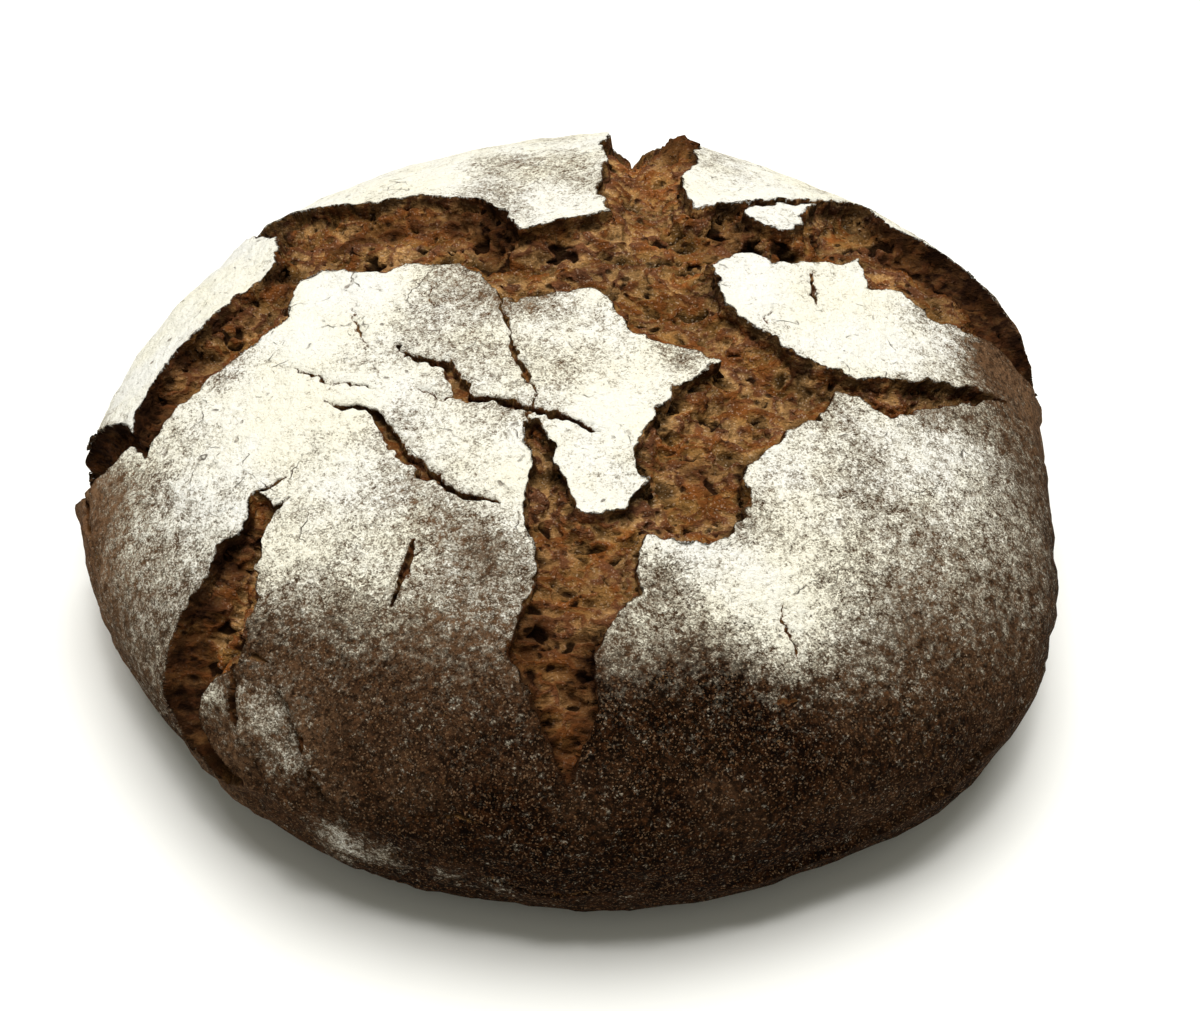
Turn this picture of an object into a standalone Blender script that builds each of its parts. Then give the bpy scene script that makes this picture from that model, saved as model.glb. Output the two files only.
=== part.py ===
"""A round farmhouse rye loaf, baked free on the stone and torn open over the top.

The loaf is one solid. Its form is a bun: a plan radius that wavers round the loaf,
a full upper curve, and a tucked-in lower curve that ends on a flat base. The crust is
unrolled over the crown as a flat map, in which a point's bearing is its bearing on the
loaf and its distance from the middle is the length along the loaf's section. In that map
each plate of crust is a closed outline, and what no plate covers is torn open.
Lengths in the shape sections are in millimetres, and the mesh is scaled to metres.
"""
import math

import bpy
import bmesh
import numpy as np
from mathutils import Vector, noise

MM = 0.001

# Driving sizes
MEAN_RADIUS = 135.0          # plan radius, before it wavers
HEIGHT = 90.0                # crown above the base
WAIST_HEIGHT = 38.0          # level of the widest section
BASE_SHARE = 0.82            # base radius over the plan radius
SHOULDER_R = 2.3             # fullness of the upper curve, along the radius
SHOULDER_Z = 2.15            # fullness of the upper curve, along the height
# The plan wavers: (waves round the loaf, share of the radius, bearing of a crest in degrees)
PLAN_WAVES = ((2, 0.009, -20), (3, 0.016, -150), (4, 0.005, 175),
              (5, 0.012, 150), (6, 0.009, 140), (7, 0.007, -170))
PLAN_CENTRE = (-4.0, 1.7)    # middle of the wavering plan's box, moved to the origin

# Tears
TEAR_DEPTH = 9.0             # floor of a tear below the crust, at the back
FRONT_DEPTH = 4.0            # the same where the front tear runs out
FRONT_EASE = (20.0, -120.0)  # from here to here on the map the depth eases to the front's
WALL_RUN = 4.0               # distance over which a tear's wall falls
SWELL_START = 7.0            # past this distance from an edge the crumb swells up again
SWELL_RUN = 16.0
SWELL_SHARE = 0.42           # share of the depth that the crumb wins back
LIP_HEIGHT = 1.3             # the crust curls up at a torn edge
LIP_RUN = 6.0
RAGGED = 1.6                 # how far a torn edge strays from its outline
RAGGED_LENGTH = 13.0
CRUMB_LUMP = 1.3             # lumps on the torn floor
CRUMB_LENGTH = 11.0
CRACK_DEPTH = 5.0
FOOT_RUN = 14.0              # above the foot all relief fades, so the base stays flat
UNEVEN = 0.5                 # slow rise and fall of the whole crust
UNEVEN_LENGTH = 48.0
RIM = 230.0                  # past the foot, whose distance on the map is about 206

# Plates of crust, each a closed outline on the map; +y is the back of the loaf
PLATES = (
    # back left
    ((-83, 86), (-68, 77), (-45, 76), (-30, 71), (-18, 52), (-4, 56), (9, 59), (3, 71),
     (8, 84), (7, 120), (28, 168), (50, RIM), (-60, RIM), (-150, 180), (-140, 118),
     (-105, 95)),
    # back right
    ((33, 64), (62, 78), (81, 87), (96, 80), (120, 84), (150, 95), (RIM, 120), (150, RIM),
     (0, RIM), (16, 168), (35, 112), (29, 82)),
    # flake in front of it
    ((46, 69), (58, 59), (65, 61), (70, 73), (62, 75)),
    # rim at the right
    ((84, 87), (90, 76), (107, 69), (122, 62), (133, 47), (141, 38), (178, 26), (RIM, 5),
     (RIM, 130), (150, 102), (120, 86)),
    # rim at the left
    ((-92, 69), (-95, 39), (-118, 10), (-121, -12), (-135, 2), (-143, 4), (-156, -10),
     (-RIM, -40), (-RIM, 190), (-142, 126), (-108, 88)),
    # left and front, with the star-shaped island in the middle
    ((-116, -18), (-91, 7), (-82, 15), (-78, 37), (-54, 33), (-34, 36), (-18, 18), (3, 25),
     (13, 5), (38, -4), (23, -13), (13, -36), (18, -47), (12, -57), (-2, -57), (-11, -33),
     (-11, -76), (-19, -98), (-10, -118), (-3, -134), (5, -170), (5, -RIM), (-160, -170),
     (-RIM, -80), (-RIM, 0), (-154, 0), (-142, -14), (-122, -14)),
    # right, with the long tongue of crust that lies across the loaf
    ((35, 35), (48, 42), (77, 46), (79, 33), (98, 26), (131, 24), (168, 32), (RIM, 50),
     (RIM, -80), (130, -190), (-5, -RIM), (-10, -170), (-3, -134), (6, -93), (18, -65),
     (33, -66), (42, -39), (52, -28), (70, -13), (82, -19), (112, -3), (125, 5), (88, -2),
     (65, -1), (39, 18)),
)
# A cut that opens inside a plate, down the left side
LEFT_CUT = ((-83, -44), (-95, -58), (-118, -87), (-119, -107), (-99, -121), (-103, -98),
            (-90, -90), (-85, -65))
# Cracks that only part the crust: (path on the map, half of the greatest width)
CRACKS = (
    (((-48, 4), (-35, -5), (-29, -17), (-12, -22), (5, -31)), 2.4),
    (((-65, -15), (-54, -20), (-46, -37), (-32, -50), (-20, -54)), 2.6),
)

# Mesh
SPHERE_LEVEL = 7
LAST_RING = 0.80             # share of the pole-to-pole turn at which the foot lies
SETTLE_REACH = 0.95          # points this near to a wall's top or foot move onto it
SETTLE_STEP = 0.3
TRIANGLES = 9200


def plan_radius(bearing):
    """Plan radius of the waist at each bearing."""
    share = np.ones_like(bearing)
    for waves, size, crest in PLAN_WAVES:
        share += size * np.cos(waves * bearing - math.radians(crest))
    return MEAN_RADIUS * share


def section(steps=1500):
    """The loaf's section from the crown to the foot: length, radius share and height."""
    turn = np.linspace(0.0, math.pi / 2, steps)
    upper_r = np.sin(turn) ** (2 / SHOULDER_R)
    upper_z = WAIST_HEIGHT + (HEIGHT - WAIST_HEIGHT) * np.cos(turn) ** (2 / SHOULDER_Z)
    lower_r = BASE_SHARE + (1 - BASE_SHARE) * np.cos(turn[1:])
    lower_z = WAIST_HEIGHT * (1 - np.sin(turn[1:]))
    share = np.concatenate((upper_r, lower_r))
    height = np.concatenate((upper_z, lower_z))
    run = np.hypot(np.diff(share) * MEAN_RADIUS, np.diff(height))
    return np.concatenate(((0.0,), np.cumsum(run))), share, height


def gap_to_outline(points, outline):
    """Distance of each point outside a closed outline; inside it is negative."""
    corners = np.array(outline, dtype=float)
    nearest = np.full(len(points), np.inf)
    inside = np.zeros(len(points), dtype=bool)
    for start, end in zip(corners, np.roll(corners, -1, axis=0)):
        edge = end - start
        along = np.clip(((points - start) @ edge) / (edge @ edge), 0.0, 1.0)
        offset = points - start - along[:, None] * edge
        nearest = np.minimum(nearest, np.hypot(offset[:, 0], offset[:, 1]))
        if start[1] != end[1]:
            straddles = (start[1] > points[:, 1]) != (end[1] > points[:, 1])
            crossing = start[0] + (points[:, 1] - start[1]) * edge[0] / edge[1]
            inside ^= straddles & (points[:, 0] < crossing)
    return np.where(inside, -nearest, nearest)


def crack_opening(points, path, half_width):
    """Half width of a crack less the distance from its path; it tapers to both ends."""
    stations = np.array(path, dtype=float)
    lengths = np.hypot(*np.diff(stations, axis=0).T)
    done = np.concatenate(((0.0,), np.cumsum(lengths)))
    opening = np.full(len(points), -np.inf)
    for index, start in enumerate(stations[:-1]):
        edge = stations[index + 1] - start
        along = np.clip(((points - start) @ edge) / (edge @ edge), 0.0, 1.0)
        offset = points - start - along[:, None] * edge
        share = (done[index] + along * lengths[index]) / done[-1]
        width = half_width * np.sqrt(np.clip(np.sin(math.pi * share), 0.0, 1.0))
        opening = np.maximum(opening, width - np.hypot(offset[:, 0], offset[:, 1]))
    return opening


def waver(points, wave_length, seed):
    """Smooth noise of about -1 to 1 over the map."""
    return np.array([noise.noise(Vector((x / wave_length, y / wave_length, seed))) * 2
                     for x, y in points])


def smooth_step(value):
    value = np.clip(value, 0.0, 1.0)
    return value * value * (3 - 2 * value)


def tear_opening(points):
    """Distance from the nearest torn edge: positive in a tear, negative on the crust."""
    opening = np.full(len(points), np.inf)
    for outline in PLATES:
        opening = np.minimum(opening, gap_to_outline(points, outline))
    opening = np.maximum(opening, -gap_to_outline(points, LEFT_CUT))
    return opening + RAGGED * waver(points, RAGGED_LENGTH, 3.0)


def settle_on_edges(points):
    """Moves the points beside a wall's top and foot onto them, so that both run clean."""
    for level in (0.0, WALL_RUN):
        opening = tear_opening(points)
        slope = np.stack([(tear_opening(points + step) - opening) / SETTLE_STEP
                          for step in ((SETTLE_STEP, 0.0), (0.0, SETTLE_STEP))], axis=1)
        short = np.where(np.abs(level - opening) < SETTLE_REACH, level - opening, 0.0)
        steepness = np.maximum((slope ** 2).sum(axis=1), 0.5)
        points = points + slope * (short / steepness)[:, None]
    return points


def sink(points):
    """How far the surface lies below the smooth crust at each point of the map."""
    opening = tear_opening(points)
    back, front = FRONT_EASE
    ease = smooth_step((back - points[:, 1]) / (back - front))
    beside = points[:, 0] < -60
    depth = np.where(beside, TEAR_DEPTH, TEAR_DEPTH + (FRONT_DEPTH - TEAR_DEPTH) * ease)
    swell = 1 - SWELL_SHARE * smooth_step((opening - SWELL_START) / SWELL_RUN)
    wall = smooth_step(opening / WALL_RUN)
    lumps = CRUMB_LUMP * waver(points, CRUMB_LENGTH, 9.0) * wall
    lip = LIP_HEIGHT * np.exp(-np.abs(opening) / LIP_RUN) * (opening <= 0)
    below = wall * depth * swell + lumps - lip
    below += UNEVEN * waver(points, UNEVEN_LENGTH, 5.0)
    for path, half_width in CRACKS:
        split = crack_opening(points, path, half_width)
        below += CRACK_DEPTH * smooth_step(split / half_width)
    return below


def shape_loaf(mesh):
    """Moves the vertices of a unit sphere to the surface of the loaf."""
    count = len(mesh.vertices)
    flat = np.empty(count * 3)
    mesh.vertices.foreach_get("co", flat)
    sphere = flat.reshape(count, 3)
    bearing = np.arctan2(sphere[:, 1], sphere[:, 0])
    turn = np.arccos(np.clip(sphere[:, 2], -1.0, 1.0)) / math.pi

    length, share, height = section()
    foot = length[-1]
    along = np.minimum(turn / LAST_RING, 1.0) * foot
    map_points = np.stack((along * np.cos(bearing), along * np.sin(bearing)), axis=1)
    on_side = along < foot - FOOT_RUN
    map_points[on_side] = settle_on_edges(map_points[on_side])
    bearing = np.arctan2(map_points[:, 1], map_points[:, 0])
    along = np.hypot(map_points[:, 0], map_points[:, 1])
    radius = np.interp(along, length, share)
    level = np.interp(along, length, height)
    beyond = np.clip((turn - LAST_RING) / (1 - LAST_RING), 0.0, 1.0)
    radius *= 1 - beyond

    plan = plan_radius(bearing)
    nudge = 1e-4
    plan_slope = (plan_radius(bearing + nudge) - plan_radius(bearing - nudge)) / (2 * nudge)
    radius_slope = np.interp(along, length, np.gradient(share, length))
    level_slope = np.interp(along, length, np.gradient(height, length))
    cos_b, sin_b = np.cos(bearing), np.sin(bearing)
    round_x = plan_slope * cos_b - plan * sin_b
    round_y = plan_slope * sin_b + plan * cos_b
    normal = np.stack((-round_y * level_slope, round_x * level_slope,
                       radius_slope * plan * (round_y * cos_b - round_x * sin_b)), axis=1)
    normal /= np.linalg.norm(normal, axis=1)[:, None]

    below = sink(map_points) * smooth_step((foot - along) / FOOT_RUN)
    place = np.stack((radius * plan * cos_b - PLAN_CENTRE[0],
                      radius * plan * sin_b - PLAN_CENTRE[1], level), axis=1)
    place -= normal * below[:, None]
    place[:, 2] = np.maximum(place[:, 2], 0.0)
    mesh.vertices.foreach_set("co", (place * MM).ravel())
    mesh.update()


def thin_mesh(loaf):
    """Collapses the fine mesh to the wanted number of triangles."""
    thin = loaf.modifiers.new("Thin", 'DECIMATE')
    thin.ratio = TRIANGLES / len(loaf.data.polygons)
    bpy.ops.object.modifier_apply(modifier=thin.name)


def level_base(mesh, tolerance=0.15 * MM):
    """Makes the base exactly flat and one face."""
    shape = bmesh.new()
    shape.from_mesh(mesh)
    for vertex in shape.verts:
        if vertex.co.z < tolerance:
            vertex.co.z = 0.0
    base_edges = [edge for edge in shape.edges
                  if all(v.co.z == 0.0 for face in edge.link_faces for v in face.verts)]
    bmesh.ops.dissolve_edges(shape, edges=base_edges, use_verts=True, use_face_split=False)
    shape.to_mesh(mesh)
    shape.free()


def crust_material():
    material = bpy.data.materials.new("rye_crust")
    material.use_nodes = True
    shader = material.node_tree.nodes["Principled BSDF"]
    shader.inputs["Base Color"].default_value = (0.20, 0.12, 0.065, 1.0)
    shader.inputs["Roughness"].default_value = 0.85
    shader.inputs["Metallic"].default_value = 0.0
    material.diffuse_color = (0.20, 0.12, 0.065, 1.0)
    return material


def build():
    for thing in list(bpy.data.objects):
        bpy.data.objects.remove(thing, do_unlink=True)
    bread = bpy.data.collections.new("rye_bread_loaf")
    bpy.context.scene.collection.children.link(bread)

    bpy.ops.mesh.primitive_ico_sphere_add(subdivisions=SPHERE_LEVEL, radius=1.0)
    loaf = bpy.context.object
    loaf.name = "loaf"
    loaf.data.name = "loaf"
    for holder in list(loaf.users_collection):
        holder.objects.unlink(loaf)
    bread.objects.link(loaf)
    bpy.context.view_layer.objects.active = loaf
    loaf.select_set(True)

    shape_loaf(loaf.data)
    thin_mesh(loaf)
    level_base(loaf.data)
    loaf.data.shade_smooth()
    loaf.data.set_sharp_from_angle(angle=math.radians(35))
    loaf.data.materials.append(crust_material())


build()
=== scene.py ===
"""Looks of the round rye loaf: its torn, floured crust, the open crumb and the light on it.

The loaf is modelled once more at full detail inside the CAD solid's form: the same bun, the
same plates of crust and the same tears, with ragged lips, overhung walls, porous crumb,
folds and a knobbly foot. The crust is unrolled over the crown as a flat map in millimetres,
in which a point's bearing is its bearing on the loaf and its distance from the middle is
the length along the loaf's section; +y is the back of the loaf.
"""
import math

import bpy
import numpy as np
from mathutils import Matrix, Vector, noise


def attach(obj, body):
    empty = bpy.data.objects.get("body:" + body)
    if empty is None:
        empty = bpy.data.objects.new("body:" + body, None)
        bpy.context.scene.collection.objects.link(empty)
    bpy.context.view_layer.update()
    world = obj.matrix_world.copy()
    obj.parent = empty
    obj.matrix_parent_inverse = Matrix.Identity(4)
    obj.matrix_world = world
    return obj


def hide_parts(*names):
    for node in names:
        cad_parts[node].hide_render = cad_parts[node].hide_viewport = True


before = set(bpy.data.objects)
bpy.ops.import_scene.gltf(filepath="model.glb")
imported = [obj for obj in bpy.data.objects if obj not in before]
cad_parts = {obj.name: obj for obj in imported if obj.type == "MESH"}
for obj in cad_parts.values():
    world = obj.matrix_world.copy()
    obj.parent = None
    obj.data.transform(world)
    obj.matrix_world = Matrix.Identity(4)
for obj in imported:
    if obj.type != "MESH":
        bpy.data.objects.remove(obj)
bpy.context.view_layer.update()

MM = 0.001

# Form, in millimetres
MEAN_RADIUS = 135.0
HEIGHT = 90.0
WAIST_HEIGHT = 38.0
BASE_SHARE = 0.82            # base radius over the plan radius
SHOULDER_R = 2.3             # fullness of the upper curve, along the radius
SHOULDER_Z = 2.15            # fullness of the upper curve, along the height
PLAN_WAVES = ((2, 0.009, -20), (3, 0.016, -150), (4, 0.005, 175),
              (5, 0.012, 150), (6, 0.009, 140), (7, 0.007, -170))
PLAN_CENTRE = (-4.0, 1.7)

# Tears, in millimetres
TEAR_DEPTH = 9.0
FRONT_DEPTH = 4.0
FRONT_EASE = (20.0, -120.0)
STEEP_RUN = 1.6              # under the lip: a steep wall, then a slope of crumb
SLOPE_RUN = 8.0
STEEP_SHARE = 0.34
FULL_DEPTH_LEFT_OF = -60.0   # the left cut and the left rim don't get shallower
SWELL_START = 7.0            # away from the walls the crumb swells up again
SWELL_RUN = 16.0
SWELL_SHARE = 0.42
SWELL_LIMIT = 1.8            # how far it may rise past the smooth crust
LIP_HEIGHT = 1.3
LIP_RUN = 6.0
UNDERCUT = 1.0               # how far the crumb is torn away under the crust's lip
UNDERCUT_REACH = 2.2 * STEEP_RUN
UNDERCUT_SWING = (0.8, 7.0)  # how much it changes along a wall, and over what length
RAGGED = ((1.4, 13.0, 3.0), (0.9, 4.6, 17.0), (0.4, 2.3, 31.0))   # size, length, seed
LOW_TEETH = 0.8              # share of the finer two lost low on the sides
RAGGED_FADE = 2.5            # the finer two fade away down the wall over this run
LOW_START = 126.0            # from here outwards teeth, undercut and relief of tears lessen
LOW_RUN = 14.0
RIM = 230.0                  # past the foot, whose distance on the map is about 206
FOOT_RUN = 14.0
UNEVEN = 0.5
UNEVEN_LENGTH = 48.0

PLATES = (
    # back left
    ((-83, 86), (-68, 77), (-45, 76), (-30, 71), (-21, 60), (-18, 52), (-4, 56), (9, 59),
     (3, 71), (8, 84), (7, 120), (8, 144), (28, 176), (50, RIM), (-60, RIM), (-150, 180),
     (-140, 118), (-105, 95)),
    # back right
    ((33, 64), (45, 71), (62, 78), (81, 87), (96, 80), (120, 84), (150, 95), (RIM, 120),
     (150, RIM), (0, RIM), (16, 168), (35, 112), (35, 95), (29, 82)),
    # flake in front of it
    ((47, 66), (50, 61), (56, 57), (62, 61), (66, 69), (68, 76), (58, 74)),
    # rim at the right
    ((84, 87), (90, 76), (107, 69), (122, 62), (133, 48), (146, 42), (165, 36), (182, 28),
     (RIM, 5), (RIM, 130), (150, 102), (120, 86)),
    # rim at the left
    ((-92, 69), (-87, 54), (-95, 39), (-106, 27), (-118, 10), (-121, 0), (-121, -12),
     (-128, -2), (-135, 3), (-148, 7), (-160, 6), (-172, -4), (-RIM, -30), (-RIM, 190),
     (-142, 126), (-108, 88)),
    # left and front, with the star-shaped island in the middle
    ((-116, -18), (-106, -6), (-91, 7), (-82, 15), (-78, 37), (-67, 38), (-54, 33),
     (-49, 36), (-34, 36), (-27, 28), (-18, 18), (-2, 22), (3, 25), (7, 20), (13, 5),
     (27, 1), (38, -4), (30, -12), (23, -13), (20, -22), (13, -36), (18, -47), (12, -57),
     (-1, -57), (-4, -47), (-7, -39), (-11, -27), (-15, -28), (-13, -38), (-15, -49),
     (-13, -57), (-13, -66), (-11, -76), (-19, -98), (-12, -108), (-10, -118), (-3, -134),
     (5, -170), (5, -RIM), (-160, -170), (-RIM, -80), (-RIM, -10), (-172, -6), (-160, -12),
     (-146, -16), (-130, -18), (-122, -14)),
    # right, with the long tongue of crust that lies across the loaf
    ((35, 35), (48, 42), (52, 37), (61, 39), (77, 46), (79, 33), (89, 33), (98, 26),
     (108, 27), (123, 27), (131, 24), (168, 32), (RIM, 50), (RIM, -80), (130, -190),
     (-5, -RIM), (-10, -170), (-3, -134), (3, -118), (6, -93), (15, -82), (18, -65),
     (33, -66), (41, -57), (42, -39), (52, -28), (63, -23), (70, -13), (76, -13),
     (82, -19), (94, -14), (112, -3), (125, 5), (101, 1), (77, -6), (65, -1), (55, 5),
     (39, 18)),
)
LEFT_CUT = ((-85, -43), (-88, -53), (-95, -58), (-104, -71), (-118, -87), (-122, -97),
            (-119, -107), (-109, -119), (-99, -121), (-107, -103), (-102, -97), (-90, -91),
            (-87, -79), (-83, -74), (-85, -65), (-84, -57), (-80, -50))
# Cracks: path on the map, half of the greatest width, depth
CRACKS = (
    (((-79, 1), (-67, -7), (-53, -12)), 0.6, 1.6),
    (((-48, 4), (-46, 0), (-35, -5), (-29, -17), (-12, -22), (5, -31)), 1.8, 3.6),
    (((-65, -15), (-54, -20), (-46, -37), (-32, -50), (-20, -54)), 1.7, 3.4),
    (((-22, 24), (-18, 2), (-12, -18), (-13, -28), (-11, -35)), 0.7, 2.2),
    (((-77, -39), (-85, -43)), 0.8, 2.4),
    (((-75, -46), (-82, -50)), 0.7, 2.4),
    (((-43, -64), (-44, -70), (-48, -82)), 1.5, 3.0),
    (((-38, -66), (-43, -68)), 0.6, 1.6),
    (((51, -80), (53, -87), (55, -94)), 0.5, 1.5),
    (((63, 37), (64, 31), (63, 27), (64, 23)), 0.8, 2.2),
    (((53, 20), (50, 15), (51, 11)), 0.4, 1.2),
    (((-62, 24), (-60, 12), (-56, 4)), 0.4, 1.2),
    (((-40, 30), (-42, 24), (-38, 17)), 0.4, 1.2),
    (((49, -108), (57, -105)), 0.4, 1.2),
    (((45, 70), (62, 77), (81, 87)), 0.9, 3.0),
    (((-91, -91), (-93, -97), (-94, -102), (-93, -110)), 0.8, 2.6),
    (((-142, -12), (-143, -28), (-140, -44)), 0.9, 2.6),
    (((-31, -161), (-12, -168), (10, -166)), 0.6, 1.8),
    (((-81, -92), (-87, -89)), 0.5, 1.4),
    (((-46, -138), (-34, -139), (-25, -140)), 0.4, 1.3),
    (((-44, -12), (-36, -17), (-30, -16)), 0.4, 1.2),
    (((-77, -104), (-74, -114), (-73, -124), (-69, -129)), 0.8, 2.0),
    (((-90, -114), (-87, -122), (-84, -130)), 0.6, 1.6),
)
CRACK_WANDER = ((0.8, 6.0), (0.5, 2.2))   # how far a crack strays, and over what length
CRACK_SWING = (0.45, 5.0)    # how much a crack's width changes, and over what length
CRACK_SIDE = 0.8             # run of a crack's side
CRACK_START = 0.3            # share of that run that lies outside the half-width
CRACK_SEEN = 0.3             # depth past which a crack shows crumb
CRACK_OPEN = 1.5             # depth at which a crack is crumb all over
CRACK_CRUMB = 0.35           # how lumpy the crumb in a crack is, against that in a tear
# the shade of a crack's far lip is painted shade
OVERHANG_REACH = 0.8         # how far a crack's far lip shades the crack
# Folds of the crust: path on the map, rise of the side to the left of the path, run
FOLDS = (
    (((-84, -94), (-76, -104), (-73, -124), (-67, -130), (-63, -146)), 2.5, 4.5),
    (((-93, -109), (-94, -102), (-93, -97), (-91, -91)), 1.6, 3.5),
    (((-92, -96), (-92, -107), (-89, -117), (-83, -132), (-79, -146)), 2.2, 4.0),
    (((-66, -98), (-62, -112), (-57, -124), (-52, -140)), 1.2, 4.0),
    (((-41, -141), (-35, -148), (-30, -160)), 1.2, 6.0),
    (((-140, -90), (-112, -128), (-75, -160), (-35, -182)), 1.3, 7.0),
    (((134, -67), (125, -89), (112, -114), (84, -147), (39, -170)), 1.4, 6.0),
    (((-60, 150), (-95, 128), (-128, 96)), 1.4, 7.0),
    (((60, 160), (96, 132), (130, 96)), 1.3, 7.0),
)
FOLD_DIP = 0.4               # how far the other side of a fold sinks, against the rise
FOLD_ENDS = 5.0              # each end of a fold fades away over one fifth of its length

# Crumb that has swelled up in the tears, or sunk: (place on the map, reach, rise)
MOUNDS = (
    ((28, 114), 8, 10.0), ((27, 98), 6, 4.0), ((13, 118), 8, -3.5), ((14, 60), 12, 1.6),
    ((16, 135), 8, -3.0), ((-50, 50), 12, 1.6), ((62, 52), 9, 1.2), ((-106, 44), 9, 1.2),
    ((30, -30), 11, 1.8), ((-2, -84), 9, 1.2), ((-100, -84), 8, 1.0), ((110, 46), 10, 1.5),
)
# Caves torn in the crumb: (place on the map, half-width, half-height, depth)
CAVES = (
    ((-47, 57), 4.5, 3.4, 4.0), ((-39, 56), 2.4, 2.4, 4.0), ((-73, 48), 2.0, 1.6, 3.0),
    ((-61, 51), 3.4, 2.2, 3.0), ((-26, 47), 6.0, 3.0, 3.4), ((-31, 60), 3.0, 2.2, 3.0),
    ((-58, 64), 3.0, 1.8, 3.0), ((-70, 60), 3.4, 1.6, 2.6), ((-16, 42), 3.6, 2.0, 2.6),
    ((-6, 50), 4.0, 2.0, 3.0), ((14, 44), 3.0, 1.8, 2.6), ((-86, 36), 2.6, 2.0, 2.6),
    ((-20, 25), 1.8, 0.9, 2.0), ((-101, 27), 3.0, 1.3, 2.2),
    ((23, 57), 5.0, 3.0, 3.4), ((41, 63), 3.4, 2.4, 3.4), ((59, 53), 5.4, 3.0, 3.6),
    ((48, 57), 3.2, 2.2, 3.4), ((90, 72), 4.0, 2.4, 3.2), ((8, 47), 3.6, 2.0, 3.0),
    ((82, 70), 3.2, 2.0, 3.0), ((98, 64), 4.0, 2.2, 3.4), ((112, 58), 4.0, 2.4, 3.4),
    ((70, 66), 3.0, 2.0, 3.0), ((128, 42), 3.4, 2.4, 3.4), ((30, 46), 2.4, 1.6, 2.4),
    ((13, 35), 2.0, 1.0, 1.8), ((121, 49), 3.0, 1.6, 2.6), ((116, 38), 2.4, 1.4, 2.2),
    ((32, -19), 2.0, 1.4, 2.6), ((28, -34), 3.6, 1.1, 1.8), ((34, -42), 3.0, 2.2, 1.6),
    ((25, -61), 2.6, 0.8, 1.6), ((3, -65), 2.6, 1.3, 2.2), ((9, -69), 1.6, 1.0, 1.6),
    ((0, -82), 1.1, 0.9, 2.0), ((-11, -87), 2.4, 3.0, 2.4), ((-11, -93), 2.2, 2.2, 2.4),
    ((-13, -103), 2.4, 2.4, 2.6), ((0, -103), 3.4, 2.0, 2.4), ((-7, -101), 1.8, 1.4, 1.8),
    ((-10, -60), 1.8, 2.4, 2.0), ((-94, -83), 2.6, 3.4, 2.2), ((-103, -92), 3.2, 4.0, 2.6),
    ((-112, -99), 4.0, 4.0, 2.4), ((-90, -62), 1.8, 3.0, 1.8), ((76, 60), 3.4, 1.4, 2.0),
    ((104, 52), 2.6, 1.2, 2.0), ((2, 66), 2.0, 1.4, 2.0), ((-12, 40), 2.0, 0.9, 1.6),
    ((48, -18), 2.2, 1.0, 1.8), ((44, -4), 1.6, 0.9, 1.6), ((-84, 44), 2.4, 1.2, 2.0),
    ((-66, 56), 2.2, 1.0, 2.4), ((-54, 60), 2.6, 1.0, 2.4), ((-44, 64), 2.6, 1.0, 2.4),
    ((-34, 52), 2.4, 1.2, 2.6), ((-22, 52), 2.4, 1.0, 2.4), ((-62, 44), 1.6, 0.8, 1.8),
    ((-99, -76), 2.0, 3.0, 2.4), ((-107, -88), 2.4, 3.0, 2.6), ((-97, -92), 1.6, 1.6, 2.0),
    ((-92, -70), 1.2, 2.0, 1.8), ((-14, -110), 1.8, 2.0, 2.2), ((-2, -112), 1.8, 1.4, 2.0),
    ((-8, -116), 1.4, 1.4, 1.8), ((-3, -94), 1.6, 1.2, 1.8),
)
CAVE_STRAY = 2.0             # how far the outline of a cave strays
# Relief of the crumb
DRAWN_OUT = (1.7, 1.0, 1.0)  # torn crumb is drawn out from side to side
STRAY = (0.8, 2.8)           # how far its strands stray, and over what length
LUMP_LENGTH = 8.0
STRANDS = ((0.62, 4.4, 32.0), (0.38, 1.9, 42.0))                   # share, length, seed
PORES = ((9.0, 1.9, 70.0), (4.4, 1.25, 90.0), (2.6, 0.9, 110.0))   # spacing, radius, seed
PORE_DEPTH = 1.5             # depth of a pore over its radius
LUMP_RISE = 1.35
STRAND_RISE = 1.4
HOLLOWS_START = 0.9          # no pores or caves nearer than this to an edge
HOLLOWS_RUN = 1.8
OPEN_RUN = 2.4               # run over which a wall's skin turns into crumb
LOW_CALM = 0.6               # share of the crumb's relief lost low on the sides
# Relief of the baked skin
SKIN = ((0.22, 15.0, 61.0), (0.14, 5.0, 67.0))                     # size, length, seed
KNOBS = ((0.70, 9.0, 71.0), (0.40, 3.6, 73.0))
KNOBS_START = 118.0
KNOBS_RUN = 40.0
KNOBS_END = 158.0            # past here they sink to a quarter of their height
KNOBS_END_RUN = 18.0
LAYER_SIZE = 0.3             # thin layers that run round the foot
LAYER_WAVES = 9.0
LAYER_LENGTH = 3.4
LAYERS_START = 150.0
LAYERS_RUN = 25.0
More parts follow.
